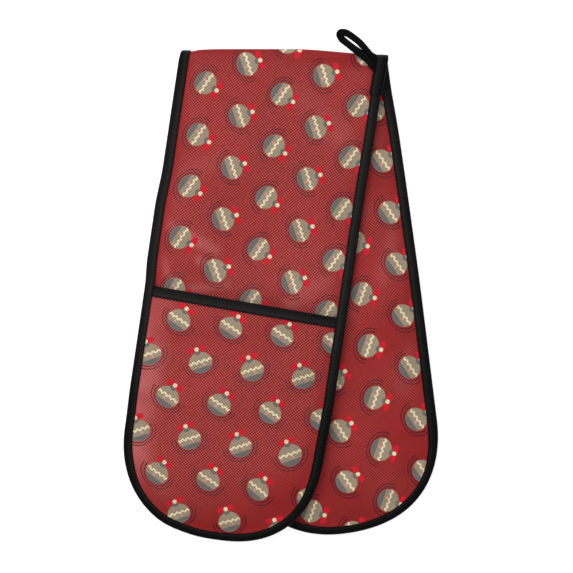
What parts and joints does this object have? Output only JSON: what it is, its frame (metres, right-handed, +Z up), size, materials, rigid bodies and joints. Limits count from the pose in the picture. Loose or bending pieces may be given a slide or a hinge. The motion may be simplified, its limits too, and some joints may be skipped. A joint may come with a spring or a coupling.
{
  "type": "double oven glove",
  "caption": "Long padded strip of printed cloth with a hand pocket at each round end, taped edges and a hanging loop, folded in half.",
  "frame": {"origin": "centre of the folded glove's footprint, on the surface that it lies on", "axes": "+Y from the round ends towards the fold, +Z up, +X towards the side with the hanging loop"},
  "size_m": [0.2786, 0.4532, 0.0413],
  "materials": {
    "printed_cloth": "matte woven cotton with an all-over print",
    "white_wadding": "soft white wadding",
    "plain_lining": "plain matte cotton",
    "black_tape": "slightly satin folded cotton tape"
  },
  "bodies": {
    "rear_pocket": {"rear_pocket_cloth": "printed_cloth", "rear_pocket_wadding": "white_wadding", "rear_pocket_lining": "plain_lining", "rear_pocket_tape": "black_tape"},
    "rear_half": {"rear_outer_cloth": "printed_cloth", "rear_wadding": "white_wadding", "rear_inner_cloth": "printed_cloth", "rear_binding": "black_tape", "rear_pocket_seam": "printed_cloth", "fold_outer_cloth": "printed_cloth", "fold_wadding": "white_wadding", "fold_inner_cloth": "printed_cloth", "fold_binding_left": "black_tape", "fold_binding_right": "black_tape"},
    "front_half": {"front_inner_cloth": "printed_cloth", "front_wadding": "white_wadding", "front_outer_cloth": "printed_cloth", "front_binding": "black_tape", "front_pocket_seam": "printed_cloth", "binding_overlap": "black_tape"},
    "front_pocket": {"front_pocket_cloth": "printed_cloth", "front_pocket_wadding": "white_wadding", "front_pocket_lining": "plain_lining", "front_pocket_tape": "black_tape"},
    "hanging_loop": {"hanging_loop": "black_tape"}
  },
  "joints": [
    {"name": "rear_pocket_mouth", "type": "hinge", "parent": "rear_pocket", "child": "rear_half", "pos_m": [0.06091, -0.21977, 0], "axis": [0.989, 0.1478, 0], "range_deg": [0, 8]},
    {"name": "fold", "type": "hinge", "parent": "rear_half", "child": "front_half", "pos_m": [0.0019, 0.20012, 0.0077], "axis": [-1, 0, 0], "range_deg": [0, 170], "deforming": ["fold_outer_cloth", "fold_wadding", "fold_inner_cloth", "fold_binding_left", "fold_binding_right"]},
    {"name": "front_pocket_mouth", "type": "hinge", "parent": "front_half", "child": "front_pocket", "pos_m": [-0.06166, -0.22516, 0.01538], "axis": [0.989, -0.1478, 0], "range_deg": [0, 8]},
    {"name": "loop_swing", "type": "hinge", "parent": "front_half", "child": "hanging_loop", "pos_m": [0.0816, 0.19762, 0.0175], "axis": [0.1478, 0.989, 0], "range_deg": [0, 130]}
  ]
}
